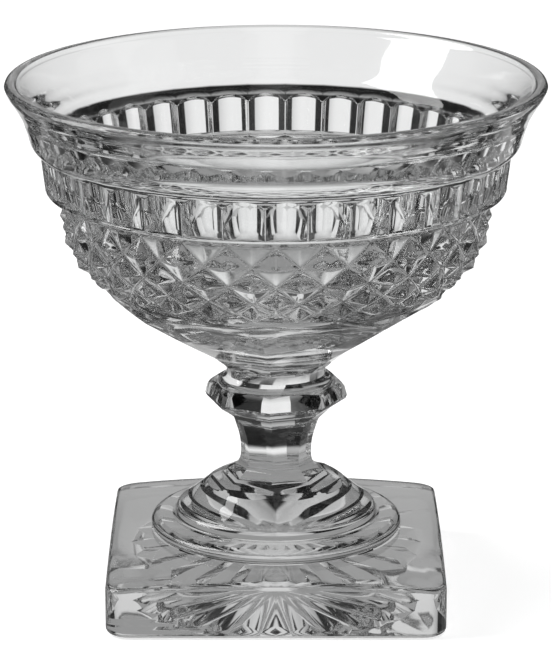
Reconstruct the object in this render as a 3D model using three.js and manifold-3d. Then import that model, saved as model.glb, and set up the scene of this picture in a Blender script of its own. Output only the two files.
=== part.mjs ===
// Footed sherbet glass in pressed and cut clear glass.
// Millimetres, +Z up, origin at the centre of the base's underside, front towards -Y.
// Five gathers of one glass, joined hot on flat faces: bowl, knop, stem, foot and square base.
import * as THREE from "three";
import { mergeVertices } from "three/addons/utils/BufferGeometryUtils.js";
import Module from "manifold-3d";

const wasm = await Module();
wasm.setup();

// Heights of the flat faces between the pieces.
const waistZ = 43.6;
const stemTopZ = 33.7;
const stemFootZ = 22.6;
const footZ = 12.0;

// Rim and wall of the bowl.
const rimR = 51.0;
const rimZ = 100.5;
const lipRound = 1.2;
const lipWall = 2.7;
const insideRimR = rimR - lipWall;
const insideDeep = 43.5;
const insideFloorZ = rimZ - insideDeep;
const lipTall = 11.1;
const collarR = 46.4;
const collarZ = rimZ - lipTall;
const shoulderR = 44.4;
const shoulderTall = 2.7;
const shoulderZ = collarZ - shoulderTall;
const insideWaistR = shoulderR - 5.1;
const insideWaistZ = shoulderZ - 1.4;

// Flutes round the wall: a round groove for each, its top cut square to the wall along an arch.
const fluteCount = 36;
const fluteTurn = 2.5;
const fluteToolR = 6.5;
const fluteSegments = 24;
const archSegments = 20;
const fluteDepth = 1.4;
const fluteLean = 6.5;
const archHalf = 4.1;
const archRise = 2.4;
const archDrop = 1.9;
const fluteEndZ = shoulderZ - archDrop;
const fluteTall = 4.6;
const fluteBottomZ = fluteEndZ - fluteTall;

// Plain rib under the flutes.
const ribR = 43.6;
const ribLowR = 43.2;
const ribTall = 0.8;
const ribLowZ = fluteBottomZ - ribTall;

// Band of raised diamonds on an arc of the wall.
const diamondCount = 28;
const bandCentreR = 25.1;
const bandDrop = 4.4;
const bandCentreZ = ribLowZ - bandDrop;
const bandTall = 18.2;
const bandRadius = 16.1;
const rowStep = 13.25;
const firstRow = 3.0;
const rowsAbove = 2;
const rowsBelow = 6;
const diamondHeight = 1.6;
const coreSink = 0.3;
const coreRadius = bandRadius - diamondHeight - coreSink;

// Plain belt and the eight panels under the bowl.
const sides = 8;
const panelTurn = -5.0;
const beltTopR = 33.0;
const beltTopZ = ribLowZ - bandTall;
const beltR = 32.0;
const beltEdge = 0.9;
const beltZ = beltTopZ - beltEdge;
const beltLowR = 31.5;
const beltTall = 2.3;
const beltLowZ = beltZ - beltTall;
const neckR = 9.5;
const neckTall = 0.8;
const neckZ = waistZ + neckTall;
const panelLowR = 10.6;
const panelR = 34.4;
const panelRise = 0.4;

// Knop.
const knopR = 13.7;
const knopZ = 38.6;
const knopCollarZ = 40.0;
const knopNeckZ = 43.0;

// Stem, whose eight panels run out on the foot.
const stemTopR = 8.2;
const stemR = 6.8;
const stemWaistZ = 26.6;
const stemFootR = 10.2;
const runR = 16.0;
const runDrop = 2.0;

// Foot.
const domeR = 10.8;
const ringR = 19.2;
const ringZ = 16.1;
const shelfZ = 14.6;
const beadR = 24.15;
const beadZ = 13.3;
const beadRound = 1.6;

// Square base.
const baseHalf = 32.0;
const baseCorner = 3.5;
const crownZ = 12.99;
const crownFall = 0.00165;
const edgeRound = 0.9;
const lowerRound = 1.6;

// Star under the base: V grooves side by side round a flat button.
const starRays = 24;
const starR = 27.5;
const starWideR = 24.0;
const starDepth = 1.2;
const buttonR = 2.4;
const buttonRise = 1.9;

const roundSegments = 64;

function solid(geometry) {
  geometry.deleteAttribute("normal");
  geometry.deleteAttribute("uv");
  const merged = mergeVertices(geometry, 1e-4);
  const flat = merged.index.array;
  const kept = [];
  for (let i = 0; i < flat.length; i += 3) {
    const [a, b, c] = flat.slice(i, i + 3);
    if (a !== b && b !== c && c !== a) {
      kept.push(a, b, c);
    }
  }
  const mesh = new wasm.Mesh({
    numProp: 3,
    vertProperties: merged.attributes.position.array,
    triVerts: new Uint32Array(kept),
  });
  return new wasm.Manifold(mesh);
}

// A profile of [radius, height] pairs, from the bottom of the axis round to its top, turned about +Z.
function turned(profile, segments = roundSegments, turn = 0) {
  const points = profile.map(([r, z]) => new THREE.Vector2(r, z));
  const geometry = new THREE.LatheGeometry(points, segments);
  geometry.rotateX(Math.PI / 2);
  geometry.rotateZ(THREE.MathUtils.degToRad(turn));
  return solid(geometry);
}

// Rings of the same number of points, bottom first, skinned with diagonals that alternate like a trellis.
function skinned(rings) {
  const around = rings[0].length;
  const positions = rings.flat(2);
  const index = [];
  for (let k = 0; k + 1 < rings.length; k += 1) {
    for (let i = 0; i < around; i += 1) {
      const a = k * around + i;
      const b = k * around + ((i + 1) % around);
      const c = b + around;
      const d = a + around;
      if ((i + k) % 2 === 1) {
        index.push(a, b, c, a, c, d);
      } else {
        index.push(a, b, d, b, c, d);
      }
    }
  }
  const top = (rings.length - 1) * around;
  for (let i = 1; i + 1 < around; i += 1) {
    index.push(0, i + 1, i);
    index.push(top, top + i, top + i + 1);
  }
  const geometry = new THREE.BufferGeometry();
  geometry.setAttribute("position", new THREE.Float32BufferAttribute(positions, 3));
  geometry.setIndex(index);
  return solid(geometry);
}

// Point at a radius and height, turned by an angle from the front.
function around(r, degrees, z) {
  const a = THREE.MathUtils.degToRad(degrees);
  return [r * Math.sin(a), -r * Math.cos(a), z];
}

// Profile points between two named ones, each given as its share of the way out and of the way up.
function between([r0, z0], [r1, z1], shares) {
  return shares.map(([out, up]) => [r0 + (r1 - r0) * out, z0 + (z1 - z0) * up]);
}

function combined(parts) {
  return parts.reduce((whole, part) => whole.add(part));
}

// Outside of the bowl before its diamonds, flutes and panels, waist to rim.
function bowlOutside() {
  const neck = [neckR, neckZ];
  const beltLow = [beltLowR, beltLowZ];
  const shoulder = [shoulderR, shoulderZ];
  const collar = [collarR, collarZ];
  const lip = [rimR, rimZ - lipRound / 2];
  const wall = [[0, waistZ], [neckR, waistZ], neck];
  wall.push(...between(neck, beltLow, [[0.08, 0.07], [0.3, 0.29], [0.65, 0.6], [0.91, 0.82]]));
  wall.push(beltLow, [beltR, beltZ], [beltTopR, beltTopZ]);
  for (const angle of [50, 38, 26, 14, 2, -10]) {
    wall.push(bandPoint(angle, coreRadius));
  }
  wall.push(bandTop(), [ribLowR, ribLowZ], [ribR, fluteBottomZ], shoulder);
  wall.push(...between(shoulder, collar, [[0.7, 0.55]]), collar);
  const flare = [[0.1, 0.15], [0.22, 0.3], [0.33, 0.44], [0.5, 0.58], [0.7, 0.72], [0.91, 0.87]];
  wall.push(...between(collar, lip, flare), lip);
  wall.push([rimR - lipRound / 4, rimZ - lipRound / 8], [rimR - lipRound, rimZ], [0, rimZ]);
  return turned(wall);
}

function bandPoint(angle, radius) {
  const a = THREE.MathUtils.degToRad(angle);
  return [bandCentreR + radius * Math.cos(a), bandCentreZ - radius * Math.sin(a)];
}

// Where the arc of the wall, inside the diamonds, meets the rib.
function bandTop() {
  return [bandCentreR + Math.sqrt(coreRadius * coreRadius - bandDrop * bandDrop), ribLowZ];
}

// Hollow of the bowl: a round cup, steep behind the flutes, then the flared lip with its rounded inner edge.
function bowlInside() {
  const floor = [0, insideFloorZ];
  const waist = [insideWaistR, insideWaistZ];
  const lip = [insideRimR, rimZ - lipRound];
  const cup = [
    [0.229, 0.021],
    [0.445, 0.113],
    [0.626, 0.247],
    [0.766, 0.389],
    [0.863, 0.537],
    [0.926, 0.693],
    [0.969, 0.841],
  ];
  const flare = [[0.289, 0.293], [0.656, 0.636], [0.878, 0.85]];
  const wall = [floor, ...between(floor, waist, cup), waist, ...between(waist, lip, flare)];
  const edge = [insideRimR + lipRound / 4, rimZ - lipRound / 4];
  const mouthR = (insideRimR + rimR - lipRound) / 2;
  return turned([...wall, lip, edge, [mouthR, rimZ], [mouthR, rimZ + lipRound], [0, rimZ + lipRound]]);
}

// Eight-sided body that holds the panels under the bowl; above the belt it stands clear.
function bowlPanels() {
  const low = [panelLowR, neckZ + neckTall * 0.75];
  const edge = [panelR, beltZ - panelRise];
  const out = rimR * 1.4;
  const under = waistZ - neckTall;
  const over = rimZ + lipRound;
  const bends = between(low, edge, [[0.19, 0.23], [0.5, 0.513], [0.872, 0.877]]);
  const profile = [[0, under], [panelLowR, under], low, ...bends, edge, [out, beltTopZ], [out, over], [0, over]];
  return turned(profile, sides, panelTurn);
}

// One flute's cutter: a leaning round bar, trimmed to an arch that stands on the rib.
function fluteCutter() {
  const length = fluteTall + archRise + fluteDepth;
  const bar = turned([[0, -fluteDepth], [fluteToolR, -fluteDepth], [fluteToolR, length], [0, length]], fluteSegments)
    .rotate([fluteLean, 0, 0])
    .translate([0, fluteDepth - ribR - fluteToolR, fluteBottomZ]);
  const arch = turned([[0, 0], [archHalf, 0], [archHalf, rimR * 1.2], [0, rimR * 1.2]], archSegments)
    .rotate([90, 0, 0])
    .scale([1, 1, archRise / archHalf])
    .translate([0, 0, fluteEndZ]);
  const jambs = solid(new THREE.BoxGeometry(2 * archHalf, rimR * 1.2, fluteTall));
  return bar.intersect(arch.add(jambs.translate([0, -rimR * 0.6, fluteEndZ - fluteTall / 2])));
}

function flutes() {
  const cutter = fluteCutter();
  const step = 360 / fluteCount;
  const all = [];
  for (let i = 0; i < fluteCount; i += 1) {
    all.push(cutter.rotate([0, 0, fluteTurn + i * step]));
  }
  return combined(all);
}

// Trellis of raised four-sided diamonds: tips and corners of the grooves take turns along each row.
function diamonds() {
  const half = 180 / diamondCount;
  const rows = [];
  for (let row = rowsBelow; row >= -rowsAbove; row -= 1) {
    const ring = [];
    for (let i = 0; i < 2 * diamondCount; i += 1) {
      const sunk = (i + row) % 2 === 0 ? 0 : diamondHeight;
      const [r, z] = bandPoint(firstRow + row * rowStep, bandRadius - sunk);
      ring.push(around(r, i * half, z));
    }
    rows.push(ring);
  }
  return skinned(rows);
}

// Space that the diamonds may fill: over the belt and into the rib.
function diamondBand() {
  const out = bandCentreR + bandRadius + diamondHeight;
  const top = ribLowZ + ribTall / 2;
  return turned([
    [0, beltTopZ],
    [beltTopR, beltTopZ],
    [out, beltTopZ + bandRadius / 2],
    [out, top],
    [0, top],
  ]);
}

function bowl() {
  return bowlOutside()
    .add(diamonds().intersect(diamondBand()))
    .subtract(flutes())
    .intersect(bowlPanels())
    .subtract(bowlInside());
}

// Round collar over eight panels above and below the widest edge.
function knop() {
  const reach = knopR * 1.2;
  const shoulder = [knopR, knopCollarZ];
  const neck = [neckR, knopNeckZ];
  const waist = [neckR, waistZ];
  const curve = between(shoulder, neck, [[0.1, 0.3], [0.69, 0.57]]);
  const collar = turned([[0, stemTopZ], [reach, stemTopZ], [reach, knopCollarZ], ...curve, neck, waist, [0, waistZ]]);
  const low = [stemTopR, stemTopZ];
  const edge = [knopR, knopZ];
  const top = [knopR * 0.85, waistZ];
  const below = between(low, edge, [[0.44, 0.47], [0.95, 0.86]]);
  const above = between(edge, top, [[0.24, 0.36], [1, 0.8]]);
  return collar.intersect(turned([[0, stemTopZ], low, ...below, edge, ...above, top, [0, waistZ]], sides, panelTurn));
}

function stem() {
  const low = [stemFootR, stemFootZ];
  const waist = [stemR, stemWaistZ];
  const top = [stemTopR, stemTopZ];
  const below = between(low, waist, [[0.38, 0.2], [0.85, 0.58]]);
  const above = between(waist, top, [[0.11, 0.39], [0.5, 0.7]]);
  return turned([[0, stemFootZ], low, ...below, waist, ...above, top, [0, stemTopZ]], sides, panelTurn);
}

// Domed foot with a step, a shelf and a bead; the stem's panels run out on its dome.
function foot() {
  const top = [domeR, stemFootZ];
  const ring = [ringR, ringZ];
  const dome = between(top, ring, [[0.26, 0.21], [0.42, 0.38], [0.55, 0.52], [0.69, 0.66], [0.83, 0.8], [0.95, 0.92]]);
  const round = turned([
    [0, footZ],
    [beadR - beadRound * 0.3, footZ],
    [beadR, beadZ],
    [beadR - beadRound * 0.15, (beadZ + shelfZ) / 2],
    [beadR - beadRound * 0.5, shelfZ - beadRound * 0.2],
    [beadR - beadRound, shelfZ],
    [ringR + beadRound * 0.5, shelfZ],
    [ringR, (shelfZ + ringZ) / 2],
    ring,
    ...dome.reverse(),
    top,
    [0, stemFootZ],
  ]);
  const low = [stemFootR, stemFootZ];
  const end = [runR, stemFootZ - runDrop];
  const run = between(low, end, [[0.28, 0.3], [0.59, 0.65]]);
  const out = beadR * 1.2;
  const profile = [[0, footZ], [out, footZ], [out, stemFootZ - runDrop], end, ...run.reverse(), low, [0, stemFootZ]];
  return round.intersect(turned(profile, sides, panelTurn));
}

// Outline of the square base with rounded corners, drawn in by the given amount.
function baseOutline(inset) {
  const half = baseHalf - baseCorner;
  const corner = Math.max(baseCorner - inset, 0.5);
  const reach = baseHalf - inset - corner;
  const points = [];
  for (let side = 0; side < 4; side += 1) {
    const turn = (side * Math.PI) / 2;
    for (let k = 0; k <= 4; k += 1) {
      const a = turn + (k * Math.PI) / 8;
      const cx = reach * Math.sign(Math.cos(turn + Math.PI / 4));
      const cy = reach * Math.sign(Math.sin(turn + Math.PI / 4));
      points.push([cx + corner * Math.cos(a), cy + corner * Math.sin(a)]);
    }
    const next = turn + Math.PI / 2;
    for (let k = 1; k < 6; k += 1) {
      const along = half * (1 - (2 * k) / 6);
      const out = baseHalf - inset;
      points.push([out * Math.cos(next) + along * Math.sin(next), out * Math.sin(next) - along * Math.cos(next)]);
    }
  }
  return points;
}

function crown(x, y) {
  return crownZ - crownFall * (x * x + y * y);
}

function baseBlock() {
  const level = (inset, z) => baseOutline(inset).map(([x, y]) => [x, y, z]);
  const domed = (inset, drop) => baseOutline(inset).map(([x, y]) => [x, y, crown(x, y) - drop]);
  const toCircle = (share) =>
    baseOutline(edgeRound).map(([x, y]) => {
      const scale = beadR / Math.hypot(x, y);
      const k = 1 + (scale - 1) * share;
      return [x * k, y * k, share === 1 ? footZ : crown(x * k, y * k)];
    });
  return skinned([
    level(lowerRound, 0),
    level(lowerRound * 0.3, lowerRound * 0.3),
    level(0, lowerRound),
    domed(0, edgeRound),
    domed(edgeRound * 0.3, edgeRound * 0.3),
    domed(edgeRound, 0),
    toCircle(0.5),
    toCircle(1),
  ]);
}

// Star under the base: grooves run out to points, with sharp ridges between them.
function star() {
  const half = 180 / starRays;
  const fall = buttonRise / (starWideR - buttonR);
  const skirt = edgeRound;
  const ring = (groove, ridge) => {
    const points = [];
    for (let i = 0; i < 2 * starRays; i += 1) {
      const [r, z] = i % 2 === 0 ? groove : ridge;
      points.push(around(r, i * half, z));
    }
    return points;
  };
  const low = -fall * skirt;
  const tipR = starR - (low * (starR - starWideR)) / starDepth;
  return skinned([
    ring([tipR, low - skirt], [starWideR + skirt, low - skirt]),
    ring([tipR, low], [starWideR + skirt, low]),
    ring([starWideR, starDepth], [starWideR, 0]),
    ring([buttonR, buttonRise], [buttonR, buttonRise]),
  ]);
}

function base() {
  return baseBlock().subtract(star());
}

function node(name, shape) {
  const made = shape.getMesh();
  const geometry = new THREE.BufferGeometry();
  geometry.setAttribute("position", new THREE.BufferAttribute(made.vertProperties, 3));
  geometry.setIndex(new THREE.BufferAttribute(made.triVerts, 1));
  geometry.computeVertexNormals();
  const material = new THREE.MeshStandardMaterial({
    color: 0xe9eef0,
    roughness: 0.03,
    metalness: 0,
    transparent: true,
    opacity: 0.35,
  });
  const mesh = new THREE.Mesh(geometry, material);
  mesh.name = name;
  return mesh;
}

const glass = new THREE.Group();
glass.add(node("bowl", bowl()));
glass.add(node("knop", knop()));
glass.add(node("stem", stem()));
glass.add(node("foot", foot()));
glass.add(node("base", base()));

export default glass;
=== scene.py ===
import math

import bmesh
import bpy
from mathutils import Matrix, Vector


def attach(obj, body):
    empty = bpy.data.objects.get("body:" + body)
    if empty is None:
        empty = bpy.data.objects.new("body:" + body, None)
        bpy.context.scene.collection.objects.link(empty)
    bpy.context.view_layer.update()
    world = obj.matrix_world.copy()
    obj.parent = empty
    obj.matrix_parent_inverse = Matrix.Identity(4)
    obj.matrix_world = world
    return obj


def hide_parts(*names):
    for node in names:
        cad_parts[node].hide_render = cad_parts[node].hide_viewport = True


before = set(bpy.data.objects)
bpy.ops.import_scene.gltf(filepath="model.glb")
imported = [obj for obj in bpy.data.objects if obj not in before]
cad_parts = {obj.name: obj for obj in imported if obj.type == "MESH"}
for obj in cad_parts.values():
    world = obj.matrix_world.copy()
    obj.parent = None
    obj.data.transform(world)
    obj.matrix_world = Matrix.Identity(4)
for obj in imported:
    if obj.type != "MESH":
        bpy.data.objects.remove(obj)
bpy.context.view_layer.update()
scene = bpy.context.scene
mm = 0.001

# camera first: fitted to the rim, the foot's rings and the square base
cameraFit = {
    "distance": 0.6946,
    "height": 0.2510,
    "pitchDown": 16.05,
    "focal": 246.25,
    "sensor": 36.0,
    "clip": (0.05, 30),
}


def makeCamera(fit):
    data = bpy.data.cameras.new("camera")
    data.sensor_fit = "HORIZONTAL"
    data.sensor_width = fit["sensor"]
    data.lens = fit["focal"]
    data.clip_start, data.clip_end = fit["clip"]
    cam = bpy.data.objects.new("camera", data)
    cam.location = (0, -fit["distance"], fit["height"])
    cam.rotation_euler = (math.radians(90 - fit["pitchDown"]), 0, 0)
    scene.collection.objects.link(cam)
    scene.camera = cam


makeCamera(cameraFit)
print("camera set")


weld = 2e-6
sharpFrom = 24

# shaping helpers, all in millimetres until the mesh is made
def curved(points, per=5):
    # smooth line through the points, its ends kept
    line = []
    last = len(points) - 1
    for k in range(last):
        a, b = points[max(k - 1, 0)], points[k]
        c, d = points[k + 1], points[min(k + 2, last)]
        for j in range(per):
            t = j / per
            line.append(tuple(
                0.5 * (2 * q + (r - p) * t + (2 * p - 5 * q + 4 * r - s) * t * t + (3 * q - p - 3 * r + s) * t ** 3)
                for p, q, r, s in zip(a, b, c, d)))
    line.append(points[-1])
    return line


def atTurn(r, turn, z):
    # a point at an azimuth in degrees, where 0 faces the camera
    a = math.radians(turn)
    return (r * math.sin(a), -r * math.cos(a), z)


def turned(profile, steps, turn=0.0):
    # spin a profile of (radius, height) that starts and ends on the axis
    bm = bmesh.new()
    line = [bm.verts.new((0, -r * mm, z * mm)) for r, z in profile]
    edges = [bm.edges.new(pair) for pair in zip(line, line[1:])]
    bmesh.ops.rotate(bm, verts=line, cent=(0, 0, 0), matrix=Matrix.Rotation(math.radians(turn), 3, "Z"))
    bmesh.ops.spin(bm, geom=line + edges, cent=(0, 0, 0), axis=(0, 0, 1), angle=2 * math.pi, steps=steps,
                   use_merge=True)
    bmesh.ops.remove_doubles(bm, verts=bm.verts, dist=1e-7)
    bmesh.ops.recalc_face_normals(bm, faces=bm.faces)
    return bm


def copiedRound(bm, count, first):
    # turn the first copy in place, then add the others round the axis
    step = 2 * math.pi / count
    source = bm.verts[:] + bm.edges[:] + bm.faces[:]
    bmesh.ops.rotate(bm, verts=bm.verts, cent=(0, 0, 0), matrix=Matrix.Rotation(math.radians(first), 3, "Z"))
    for k in range(1, count):
        copy = bmesh.ops.duplicate(bm, geom=source)["geom"]
        verts = [v for v in copy if isinstance(v, bmesh.types.BMVert)]
        bmesh.ops.rotate(bm, verts=verts, cent=(0, 0, 0), matrix=Matrix.Rotation(k * step, 3, "Z"))
    return bm


def inMetres(bm):
    bmesh.ops.scale(bm, verts=bm.verts, vec=(mm, mm, mm))
    bmesh.ops.recalc_face_normals(bm, faces=bm.faces)
    return bm


def asObject(name, bm):
    mesh = bpy.data.meshes.new(name)
    bm.to_mesh(mesh)
    bm.free()
    obj = bpy.data.objects.new(name, mesh)
    scene.collection.objects.link(obj)
    return obj


def baked(obj):
    # keep what the modifiers make, and drop the modifiers
    bpy.context.view_layer.update()
    seen = obj.evaluated_get(bpy.context.evaluated_depsgraph_get())
    mesh = bpy.data.meshes.new_from_object(seen)
    mesh.name = obj.name
    obj.modifiers.clear()
    obj.data = mesh
    return obj


def worked(obj, tool, operation):
    # one boolean cut or join, and the tool is thrown away
    cut = obj.modifiers.new("work", "BOOLEAN")
    cut.operation = operation
    cut.solver = "MANIFOLD"
    cut.object = tool
    baked(obj)
    bpy.data.objects.remove(tool)
    return obj


def shaded(obj):
    # smooth glass with crisp cut edges
    bm = bmesh.new()
    bm.from_mesh(obj.data)
    bmesh.ops.remove_doubles(bm, verts=bm.verts, dist=weld)
    bmesh.ops.dissolve_degenerate(bm, edges=bm.edges, dist=weld)
    for face in bm.faces:
        face.smooth = True
    for edge in bm.edges:
        edge.smooth = len(edge.link_faces) == 2 and edge.calc_face_angle(0) < math.radians(sharpFrom)
    bm.to_mesh(obj.data)
    bm.free()
    return obj


# glass, and the hidden faces where two gathers were joined hot
glassLook = {
    "colour": (0.985, 0.990, 0.990, 1),
    "ior": 1.53,
    "waveScale": 90.0, "waveDetail": 1.5, "waveDepth": 0.00002,
    "markScale": 900, "markDetail": 2, "markLow": 0.55, "markHigh": 0.75,
    "roughLow": 0.04, "roughHigh": 0.055,
}


def joined(links, node, *sources):
    # each source, a socket or a value, goes into the node's inputs in turn
    for k, source in enumerate(sources):
        if isinstance(source, bpy.types.NodeSocket):
            links.new(source, node.inputs[k])
        else:
            node.inputs[k].default_value = source
    return node.outputs[0]


def emptyMaterial(name):
    mat = bpy.data.materials.new(name)
    mat.use_nodes = True
    return mat, mat.node_tree.nodes, mat.node_tree.links


def bareMaterial(name):
    mat, nodes, links = emptyMaterial(name)
    nodes.remove(nodes["Principled BSDF"])
    return mat, nodes, links, nodes["Material Output"].inputs["Surface"]


def noise(nodes, links, place, scale, detail):
    node = nodes.new("ShaderNodeTexNoise")
    node.inputs["Scale"].default_value = scale
    node.inputs["Detail"].default_value = detail
    links.new(place.outputs["Object"], node.inputs["Vector"])
    return node.outputs["Fac"]


def glassMaterial(name, look):
    mat, nodes, links = emptyMaterial(name)
    glass = nodes["Principled BSDF"]
    glass.inputs["Base Color"].default_value = look["colour"]
    glass.inputs["Transmission Weight"].default_value = 1
    glass.inputs["IOR"].default_value = look["ior"]
    place = nodes.new("ShaderNodeTexCoord")
    # faint unevenness left by the fire polish
    bump = nodes.new("ShaderNodeBump")
    bump.inputs["Distance"].default_value = look["waveDepth"]
    bump.inputs["Strength"].default_value = 1
    links.new(noise(nodes, links, place, look["waveScale"], look["waveDetail"]), bump.inputs["Height"])
    links.new(bump.outputs["Normal"], glass.inputs["Normal"])
    # handling marks: slightly duller specks
    specks = noise(nodes, links, place, look["markScale"], look["markDetail"])
    rough = joined(links, nodes.new("ShaderNodeMapRange"), specks, look["markLow"], look["markHigh"],
                   look["roughLow"], look["roughHigh"])
    links.new(rough, glass.inputs["Roughness"])
    return mat


def jointMaterial(name):
    mat, nodes, links, surface = bareMaterial(name)
    links.new(nodes.new("ShaderNodeBsdfTransparent").outputs["BSDF"], surface)
    return mat


clearGlass = glassMaterial("clearGlass", glassLook)
hotJoint = jointMaterial("hotJoint")
print("materials made")


def finished(obj, node, planes):
    # shade, give the faces on the joint planes their own material, and hand the piece to the frame
    shaded(obj)
    mesh = obj.data
    mesh.materials.clear()
    mesh.materials.append(clearGlass)
    mesh.materials.append(hotJoint)
    for face in mesh.polygons:
        flat = abs(face.normal.z) > 0.999
        onJoint = any(abs(face.center.z - z * mm) < weld for z in planes)
        face.material_index = 1 if flat and onJoint else 0
    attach(obj, "root")
    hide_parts(node)
    print(node, "made:", len(mesh.polygons), "faces")
    return obj


# flat faces between the pieces, and the eight-sided cut that runs down the glass
joints = {"waist": 43.6, "stemTop": 33.7, "stemFoot": 22.6, "foot": 12.0}
panels = {"sides": 8, "turn": -5.0}

bowlSize = {
    "steps": 288,
    "flutes": 36, "fluteTurn": 2.5, "fluteR": 6.5, "fluteAxisR": 48.9, "fluteLean": 6.5,
    "fluteBottom": 80.2, "fluteEnd": 85.05, "cuspSoft": 0.1,
    "archHalf": 4.1, "archRise": 2.4, "archR": 43.8, "archSoft": 0.14,
    "shoulderTop": 88.8,
    "diamonds": 28, "firstRow": 4.3, "rowStep": 15.5, "height": 1.6, "core": 14.2, "groove": 0.12,
    "bandR": 25.1, "bandZ": 75.0, "bandRadius": 16.1, "bandLow": 61.2, "bandHigh": 79.4, "bandLap": 0.4,
    "belt": 33.0,
    # distances of the mesh lines from a cusp in degrees, and from a groove as a share of a diamond
    "fluteCells": (0.0, 0.12, 0.27, 0.5, 0.9, 1.5, 2.2, 3.0, 4.0),
    "cells": (0.0, 0.05, 0.13, 0.22, 0.31, 0.39, 0.445, 0.475),
    # rows of the mesh up a flute, across its arch and over the shoulder
    "grooveRows": (0, 0.25, 0.5, 0.75, 1),
    "archRows": (-1.5, -1, -0.8, -0.6, -0.35, 0, 0.35, 0.6, 0.8, 1, 1.5),
    "shoulderRows": (0, 0.2, 0.4, 0.6, 0.8, 1),
    "under": [(9.5, 44.4), (9.9, 44.6), (11.3, 45.3), (16.2, 48.4), (23.8, 52.6), (29.6, 55.6), (31.5, 58.0),
              (32.0, 60.3)],
    "rib": [(43.0, 79.4), (43.3, 79.5), (43.55, 79.7), (43.65, 79.95), (43.55, 80.2)],
    "wall": [(43.6, 80.2), (44.05, 85.4), (44.45, 86.6), (45.1, 87.5), (45.95, 88.4), (46.45, 89.4), (46.86, 91.0),
             (47.4, 92.55), (47.9, 94.0), (48.7, 95.5), (49.6, 97.0), (50.6, 98.5), (51.05, 99.7)],
    "inside": [(0.0, 57.0), (9.0, 57.6), (17.5, 60.2), (24.6, 64.0), (30.1, 68.0), (33.9, 72.2), (36.4, 76.6),
               (38.1, 80.8), (39.2, 85.0), (39.5, 86.2), (40.0, 88.0), (40.4, 89.4), (41.4, 91.2), (44.3, 94.6),
               (46.5, 97.2), (48.3, 99.3)],
    "lip": [(48.3, 99.3), (48.7, 100.05), (49.2, 100.4), (49.8, 100.5), (50.35, 100.4), (50.8, 100.05),
            (51.0, 99.6), (51.4, 99.0)],
    "panelEdge": [(15.1, 48.4), (22.5, 52.65), (31.36, 58.07), (34.4, 59.9)],
}


def bandPoint(size, angle, radius):
    # (radius, height) on the round wall that carries the diamonds, by its angle below the level
    a = math.radians(angle)
    return (size["bandR"] + radius * math.cos(a), size["bandZ"] - radius * math.sin(a))


def lowerBody(size):
    # from the waist up to the rib that the flutes stand on
    core = [bandPoint(size, a, size["core"]) for a in range(52, -16, -4)]
    ledge = size["bandR"] + math.sqrt(size["core"] ** 2 - (size["bandHigh"] - size["bandZ"]) ** 2)
    outline = [(0, joints["waist"]), (9.5, joints["waist"])] + curved(size["under"], 3)
    outline += [(size["belt"], size["bandLow"])] + core
    outline += [(ledge, size["bandHigh"])] + size["rib"] + [(0, size["fluteBottom"])]
    return asObject("bowl", turned(outline, size["steps"]))


def cavityCutter(size):
    # everything inside the bowl and above its rounded lip
    outline = curved(size["inside"], 4) + curved(size["lip"], 3)[1:] + [(60, 99), (60, 103), (0, 103)]
    return asObject("cavity", turned(outline, size["steps"]))


def fluteColumns(size):
    # azimuths across one flute in degrees from its middle, closest together at the cusps
    side = [180 / size["flutes"] - c for c in size["fluteCells"]]
    return [-a for a in side] + [0.0] + side[:0:-1]


def wallAt(size, z):
    # radius of the plain wall and the shoulder above the flutes
    line = curved(size["wall"], 4)
    for (r0, z0), (r1, z1) in zip(line, line[1:]):
        if z <= z1:
            return r0 + (r1 - r0) * (z - z0) / (z1 - z0)
    return line[-1][0]


def fluteAt(size, turn, z):
    # radius of the groove's surface, with its cusps softened
    axis = size["fluteAxisR"] + (z - size["fluteBottom"]) * math.tan(math.radians(size["fluteLean"]))

    def groove(degrees):
        a = math.radians(degrees)
        return axis * math.cos(a) - math.sqrt(size["fluteR"] ** 2 - (axis * math.sin(a)) ** 2)

    cusp, soft = groove(180 / size["flutes"]), size["cuspSoft"]
    fall = cusp - groove(abs(turn))
    return cusp - math.sqrt(fall * fall + soft * soft)


def upperBody(size):
    # the fluted wall and the flared lip, in columns that follow the flutes and rows that follow their arches
    across = fluteColumns(size)
    starts = [k * 360 / size["flutes"] + size["fluteTurn"] for k in range(size["flutes"])]
    soft = size["archSoft"]
    near = 2.5 * soft
    low, high = size["fluteBottom"] - 0.3, size["shoulderTop"]

    def archAt(c):
        side = math.radians(c) * size["archR"] / size["archHalf"]
        return size["fluteEnd"] + size["archRise"] * math.sqrt(max(1 - side * side, 0))

    def inGroove(c, share):
        z = low + (archAt(c) - near - low) * share
        return fluteAt(size, c, z), z

    def overArch(c, share):
        z = archAt(c) + soft * share
        mix = min(max((share + 1) / 2, 0), 1)
        mix = mix * mix * (3 - 2 * mix)
        return fluteAt(size, c, z) * (1 - mix) + wallAt(size, z) * mix, z

    def overShoulder(c, share):
        z = archAt(c) + near + (high - archAt(c) - near) * share
        return wallAt(size, z), z

    def row(place, share):
        points = [place(c, share) for c in across]
        return [atTurn(r, start + c, z) for start in starts for c, (r, z) in zip(across, points)]

    rings = [row(inGroove, v) for v in size["grooveRows"]]
    rings += [row(overArch, v) for v in size["archRows"]]
    rings += [row(overShoulder, v) for v in size["shoulderRows"]]
    rims = [point for point in curved(size["wall"], 3) if point[1] > high + 0.1] + [(51.1, 101.5)]
    rings += [row(lambda c, share, rim=rim: rim, 0) for rim in rims]
    bm = bmesh.new()
    made = [[bm.verts.new(co) for co in ring] for ring in rings]
    for lower, upper in zip(made, made[1:]):
        for corners in zip(lower, lower[1:] + lower[:1], upper[1:] + upper[:1], upper):
            bm.faces.new(corners)
    bm.faces.new(made[0][::-1])
    bm.faces.new(made[-1])
    return asObject("upper", inMetres(bm))


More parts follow.
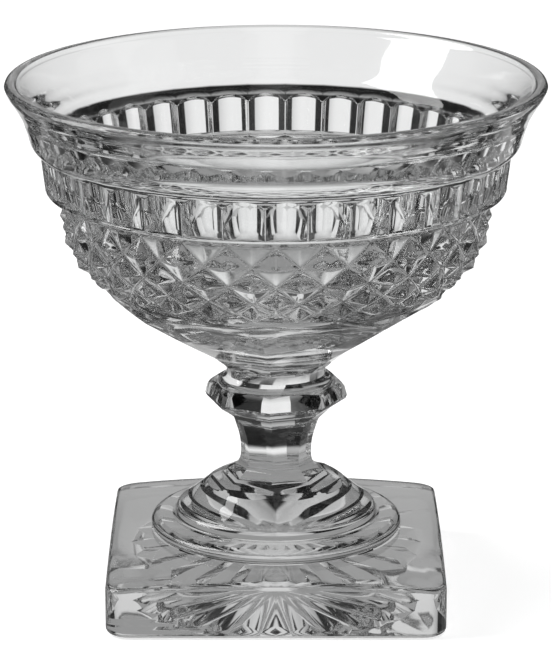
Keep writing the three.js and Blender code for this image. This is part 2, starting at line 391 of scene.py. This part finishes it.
def diamondSheet(size):
    # one mesh line along each groove and more beside it; the grooves cross the wall both ways
    shares = [-c for c in size["cells"][:0:-1]] + list(size["cells"]) + [0.5]
    count, per = size["diamonds"], len(shares)
    half = 180 / count
    bm = bmesh.new()
    found = {}

    def at(i, j):
        # corner of the sheet on line i one way and line j the other
        p = i // per + shares[i % per]
        q = j // per + shares[j % per]
        key = (i % (count * per), j - (i // (count * per)) * count * per)
        if key not in found:
            near = 0.5 - max(abs(p - round(p)), abs(q - round(q)))
            soft = size["groove"]
            height = math.sqrt((2 * size["height"] * near) ** 2 + soft * soft) - soft
            radius = size["bandRadius"] - size["height"] + height
            r, z = bandPoint(size, size["firstRow"] + (p - q) * size["rowStep"], radius)
            found[key] = bm.verts.new(atTurn(r, (p + q) * half, z))
        return found[key]

    for i in range(count * per):
        for j in range(i - 4 * per, i + 2 * per):
            bm.faces.new((at(i, j), at(i + 1, j), at(i + 1, j + 1), at(i, j + 1)))
    return bm


def diamondBand(size):
    # the sheet made solid inwards, and trimmed between the belt and the rib
    bm = diamondSheet(size)
    grown = bmesh.ops.extrude_face_region(bm, geom=bm.faces[:], use_keep_orig=True)["geom"]
    for v in grown:
        if isinstance(v, bmesh.types.BMVert):
            out = Vector((v.co.x, v.co.y)).length
            angle = math.degrees(math.atan2(size["bandZ"] - v.co.z, out - size["bandR"]))
            r, z = bandPoint(size, angle, size["core"] - 0.5)
            v.co = (v.co.x * r / out, v.co.y * r / out, z)
    low, high = size["bandLow"], size["bandHigh"] + size["bandLap"]
    limits = turned([(0, low), (size["belt"], low), (45, low + 9.8), (45, high), (0, high)], size["steps"])
    return worked(asObject("diamonds", inMetres(bm)), asObject("limits", limits), "INTERSECT")


def underPanels(size):
    # eight sides under the belt, and clear of the bowl everywhere else
    profile = [(0, 42.6), (10.6, 42.6), (10.6, 45.0)] + curved(size["panelEdge"], 4) + [(70, 61), (70, 102), (0, 102)]
    return asObject("underPanels", turned(profile, panels["sides"], panels["turn"]))


def makeBowl(size):
    bowl = lowerBody(size)
    worked(bowl, diamondBand(size), "UNION")
    worked(bowl, upperBody(size), "UNION")
    worked(bowl, underPanels(size), "INTERSECT")
    worked(bowl, cavityCutter(size), "DIFFERENCE")
    return finished(bowl, "bowl", [joints["waist"]])


makeBowl(bowlSize)

knopSize = {
    "steps": 192,
    "collar": [(15.0, 40.1), (13.4, 40.9), (10.8, 41.7), (9.5, 43.0)],
    "belly": [(8.2, 33.7), (10.6, 36.0), (13.4, 37.9)],
    "top": [(13.7, 38.6), (13.2, 40.4), (11.6, 42.6), (11.6, 43.6)],
}


def makeKnop(size):
    low, high = joints["stemTop"], joints["waist"]
    collar = [(0, low), (18, low), (18, 39.6)] + curved(size["collar"], 5) + [(9.5, high), (0, high)]
    side = [(0, low)] + curved(size["belly"], 4) + size["top"] + [(0, high)]
    knop = asObject("knop", turned(collar, size["steps"]))
    worked(knop, asObject("knopPanels", turned(side, panels["sides"], panels["turn"])), "INTERSECT")
    return finished(knop, "knop", [high, low])


makeKnop(knopSize)

# the stem's eight panels run out on the foot's dome
stemSize = {
    "panels": [(8.2, 33.7), (7.5, 31.6), (6.95, 29.4), (6.8, 26.6), (7.3, 24.9), (8.9, 23.4), (10.2, 22.6)],
    "run": [(11.8, 22.0), (13.6, 21.3), (16.0, 20.6)],
}


def makeStem(size):
    side = curved(size["panels"][::-1], 4)
    stem = turned([(0, joints["stemFoot"])] + side + [(0, joints["stemTop"])], panels["sides"], panels["turn"])
    return finished(asObject("stem", stem), "stem", [joints["stemTop"], joints["stemFoot"]])


makeStem(stemSize)

footSize = {
    "steps": 256,
    "bead": [(23.65, 12.0), (24.05, 12.6), (24.15, 13.3), (23.9, 13.9), (23.35, 14.3), (22.55, 14.6)],
    "beadR": 24.15,
    "ring": [(20.1, 14.6), (19.3, 15.0), (19.2, 15.6)],
    "dome": [(19.2, 16.1), (18.8, 16.7), (17.8, 17.4), (16.6, 18.3), (15.4, 19.3), (14.3, 20.2), (13.0, 21.3),
             (11.6, 22.25), (10.3, 22.85)],
}


def makeFoot(size):
    outline = [(0, joints["foot"])] + curved(size["bead"], 4) + curved(size["ring"], 4) + curved(size["dome"], 4)
    foot = asObject("foot", turned(outline + [(10.3, 23.4), (0, 23.4)], size["steps"]))
    top = joints["stemFoot"]
    run = [(r, z) for r, z in curved(stemSize["panels"][-2:] + stemSize["run"], 4) if z < top - 0.05]
    profile = [(0, 11), (40, 11), (40, run[-1][1])] + run[::-1] + [(stemSize["panels"][-1][0], top), (0, top)]
    worked(foot, asObject("footPanels", turned(profile, panels["sides"], panels["turn"])), "INTERSECT")
    return finished(foot, "foot", [top, joints["foot"]])


makeFoot(footSize)

baseSize = {
    "half": 32.0, "corner": 3.5, "cornerSteps": 10, "sideCuts": 30,
    "crown": 12.99, "fall": 0.00165, "edge": 0.9, "lower": 1.6, "edgeSteps": 6, "topSteps": 8,
    "rays": 24, "rayTurn": 0.0, "rayR": 27.5, "rayWide": 24.0, "rayDepth": 1.2,
    "button": 2.4, "rise": 1.9, "past": 0.6, "skirt": -2,
}


def crownAt(size, co):
    # height of the slightly domed top
    return size["crown"] - size["fall"] * (co.x * co.x + co.y * co.y)


def baseBlock(size):
    # a rounded square, drawn up ring by ring and over its domed top
    half, lower, edge = size["half"], size["lower"], size["edge"]
    bm = bmesh.new()
    bmesh.ops.create_grid(bm, x_segments=1, y_segments=1, size=half)
    bmesh.ops.bevel(bm, geom=bm.verts[:], affect="VERTICES", offset=size["corner"], segments=size["cornerSteps"],
                    profile=0.5, material=-1)
    bmesh.ops.subdivide_edges(bm, edges=[e for e in bm.edges if e.calc_length() > half], cuts=size["sideCuts"])
    bmesh.ops.delete(bm, geom=bm.faces[:], context="FACES_ONLY")
    outline = [v.co.copy() for v in bm.verts]

    def laid(verts, amount, share, height):
        # one ring: the outline drawn in by an amount, and rounded towards the foot's ring by a share
        for v in verts:
            turn = math.atan2(v.co.y, v.co.x)
            rest = min(outline, key=lambda p: abs(math.remainder(math.atan2(p.y, p.x) - turn, 2 * math.pi)))
            k = 1 - amount / half
            k *= 1 + (footSize["beadR"] / (rest.length * k) - 1) * share
            v.co = rest * k
            v.co.z = height(v.co)

    rings = []
    quarter = [math.radians(90 / size["edgeSteps"] * k) for k in range(size["edgeSteps"] + 1)]
    for a in quarter:
        rings.append((lower * (1 - math.sin(a)), 0, lambda co, z=lower * (1 - math.cos(a)): z))
    for a in quarter:
        rings.append((edge * (1 - math.cos(a)), 0, lambda co, z=edge * (1 - math.sin(a)): crownAt(size, co) - z))
    for k in range(1, size["topSteps"]):
        rings.append((edge, k / size["topSteps"], lambda co: crownAt(size, co)))
    rings.append((edge, 1, lambda co: joints["foot"]))
    laid(bm.verts, *rings[0])
    edges = bm.edges[:]
    for ring in rings[1:]:
        grown = bmesh.ops.extrude_edge_only(bm, edges=edges)["geom"]
        edges = [g for g in grown if isinstance(g, bmesh.types.BMEdge)]
        laid([g for g in grown if isinstance(g, bmesh.types.BMVert)], *ring)
    bmesh.ops.holes_fill(bm, edges=[e for e in bm.edges if e.is_boundary], sides=0)
    return asObject("base", inMetres(bm))


def starCutter(size):
    # V grooves side by side round a flat button, each running out to a point
    half = 180 / size["rays"]
    bm = bmesh.new()

    def corner(*place):
        return bm.verts.new(atTurn(*place))

    button, rise = size["button"], size["rise"]
    out = size["rayWide"] + size["past"]
    low = -rise * size["past"] / (size["rayWide"] - button)
    tip = size["rayR"] - low * (size["rayR"] - size["rayWide"]) / size["rayDepth"]
    middle = corner(0, 0, rise)
    start, wide, point = corner(button, 0, rise), corner(size["rayWide"], 0, size["rayDepth"]), corner(tip, 0, low)
    for side in (-half, half):
        ridge, end = corner(button, side, rise), corner(out, side, low)
        for ring in ((middle, start, ridge), (start, wide, end, ridge), (wide, point, end)):
            bm.faces.new(ring)
    bm = copiedRound(bm, size["rays"], size["rayTurn"])
    bmesh.ops.remove_doubles(bm, verts=bm.verts, dist=1e-4)
    skirt = bmesh.ops.extrude_edge_only(bm, edges=[e for e in bm.edges if e.is_boundary])["geom"]
    for v in skirt:
        if isinstance(v, bmesh.types.BMVert):
            v.co.z = size["skirt"]
    bmesh.ops.holes_fill(bm, edges=[e for e in bm.edges if e.is_boundary], sides=0)
    return asObject("star", inMetres(bm))


def makeBase(size):
    base = worked(baseBlock(size), starCutter(size), "DIFFERENCE")
    return finished(base, "base", [joints["foot"]])


makeBase(baseSize)

# plain white floor and studio; where the world is white goes by the z and x of a direction of length 1
studio = {
    "floorSize": 6.0, "floorZ": -0.00003, "floorWhite": 0.9, "floorGlow": 0.62,
    # painted shadow under the glass: a dim glowing disc that fades out between shadeFrom and shadeTo
    "shadeZ": -0.00002, "shadeSize": 0.105, "shadeFrom": 0.045, "shadeTo": 0.10, "shade": 0.3,
    "wallLow": -0.24, "wallHigh": -0.13, "dark": 0.015,
    "riseLow": 0.05, "riseHigh": 0.15, "above": 0.7,
    "fallLow": 0.42, "fallHigh": 0.5, "overhead": 0.8,
    "steepLow": -0.62, "steepHigh": -0.46, "below": 0.7,
    "leftFrom": -0.5, "leftTo": 0.0, "left": 0.45, "white": 0.9,
    "cards": 8, "window": 16, "card": 0.03, "cardSoft": 0.02,
    "strip": 20, "stripSoft": 0.18,
}
lamps = {
    "softbox": {"place": (-0.85, 0.03, 0.71), "aim": (0, 0, 0.09), "size": (0.58, 0.85), "power": 9, "mirrored": True},
    "fill": {"place": (0.5, -0.2, 0.9), "aim": (0, 0, 0.05), "size": (0.4, 0.4), "power": 2, "mirrored": False},
}


def maths(nodes, links, operation, *sources):
    node = nodes.new("ShaderNodeMath")
    node.operation = operation
    return joined(links, node, *sources)


def ramp(nodes, links, source, low, high, start, end):
    node = nodes.new("ShaderNodeMapRange")
    node.interpolation_type = "SMOOTHSTEP"
    return joined(links, node, source, low, high, start, end)


def makeFloor(values):
    bm = bmesh.new()
    bmesh.ops.create_grid(bm, x_segments=1, y_segments=1, size=values["floorSize"])
    floor = asObject("floor", bm)
    floor.location.z = values["floorZ"]
    mat, nodes, links, surface = bareMaterial("floorWhite")
    matt = nodes.new("ShaderNodeBsdfDiffuse")
    matt.inputs["Color"].default_value = (values["floorWhite"],) * 3 + (1,)
    glow = nodes.new("ShaderNodeEmission")
    toCamera = nodes.new("ShaderNodeLightPath").outputs["Is Camera Ray"]
    links.new(maths(nodes, links, "MULTIPLY", toCamera, values["floorGlow"]), glow.inputs["Strength"])
    links.new(joined(links, nodes.new("ShaderNodeAddShader"), matt.outputs[0], glow.outputs[0]), surface)
    floor.data.materials.append(mat)
    # glass sees the studio's own white instead, which the world gives it
    floor.visible_glossy = floor.visible_transmission = False


def makeShade(values):
    # painted shadow: a dim glowing disc close under the glass, put in place of the glass's shadow on the floor, seen
    # only through the glass
    bm = bmesh.new()
    bmesh.ops.create_circle(bm, cap_ends=True, segments=64, radius=values["shadeSize"])
    shade = asObject("shade", bm)
    shade.location.z = values["shadeZ"]
    mat, nodes, links, surface = bareMaterial("shadedFloor")
    place = nodes.new("ShaderNodeTexCoord")
    away = nodes.new("ShaderNodeVectorMath")
    away.operation = "LENGTH"
    links.new(place.outputs["Object"], away.inputs[0])
    clear = ramp(nodes, links, away.outputs["Value"], values["shadeFrom"], values["shadeTo"], 0.0, 1.0)
    dim = nodes.new("ShaderNodeEmission")
    dim.inputs["Strength"].default_value = values["shade"]
    through = nodes.new("ShaderNodeBsdfTransparent")
    mixed = joined(links, nodes.new("ShaderNodeMixShader"), clear, dim.outputs[0], through.outputs[0])
    links.new(mixed, surface)
    shade.data.materials.append(mat)
    shade.visible_camera = shade.visible_diffuse = shade.visible_shadow = False


def makeWorld(values):
    world = bpy.data.worlds.new("studio")
    scene.world = world
    world.use_nodes = True
    nodes, links = world.node_tree.nodes, world.node_tree.links
    way = nodes.new("ShaderNodeTexCoord")
    split = nodes.new("ShaderNodeSeparateXYZ")
    links.new(way.outputs["Generated"], split.inputs[0])
    x, y, z = split.outputs

    def work(operation, *sources):
        return maths(nodes, links, operation, *sources)

    def between(low, high, start, end, source=z):
        return ramp(nodes, links, source, values[low], values[high], start, end)

    def bars(turn, share, soft):
        # white bars on black round the world, one centred on each whole turn
        off = work("PINGPONG", turn, 0.5)
        return ramp(nodes, links, off, share - soft, share + soft, 1.0, values["card"])

    # white low down, with eight black cards standing round, between the views
    low = between("wallLow", "wallHigh", 1.0, values["dark"])
    turn = work("MULTIPLY", work("ARCTAN2", x, y), values["cards"] / 2 / math.pi)
    card = bars(turn, values["window"] * values["cards"] / 360, values["cardSoft"])
    # four soft white strips on black above and steeply below
    strips = bars(work("MULTIPLY", turn, 0.5), values["strip"] * values["cards"] / 720, values["stripSoft"])
    rise = between("riseLow", "riseHigh", 0.0, values["above"])
    high = work("MULTIPLY", rise, between("fallLow", "fallHigh", 1.0, values["overhead"]))
    over = work("ADD", low, work("MULTIPLY", high, strips))
    steep = work("MULTIPLY", between("steepLow", "steepHigh", values["below"], 0.0), strips)
    under = work("ADD", between("steepLow", "steepHigh", 0.0, 1.0), steep)
    # the left side is dimmer
    side = between("leftFrom", "leftTo", values["left"], values["white"], x)
    seen = work("MULTIPLY", work("MULTIPLY", over, under), work("MULTIPLY", card, side))
    toCamera = nodes.new("ShaderNodeLightPath").outputs["Is Camera Ray"]
    nodes["Background"].inputs["Color"].default_value = (1, 1, 1, 1)
    links.new(work("MAXIMUM", toCamera, seen), nodes["Background"].inputs["Strength"])


def makeLamp(name, values):
    data = bpy.data.lights.new(name, "AREA")
    data.shape = "RECTANGLE"
    data.size, data.size_y = values["size"]
    data.energy = values["power"]
    lamp = bpy.data.objects.new(name, data)
    lamp.location = values["place"]
    lamp.rotation_euler = (Vector(values["aim"]) - lamp.location).to_track_quat("-Z", "Y").to_euler()
    lamp.visible_glossy = values["mirrored"]
    lamp.visible_transmission = False
    scene.collection.objects.link(lamp)


makeFloor(studio)
makeShade(studio)
makeWorld(studio)
for name, values in lamps.items():
    makeLamp(name, values)
scene.view_settings.view_transform = "Standard"
cycles = scene.cycles
cycles.max_bounces = 28
cycles.transmission_bounces = 28
cycles.glossy_bounces = 10
cycles.transparent_max_bounces = 32
print("studio set")
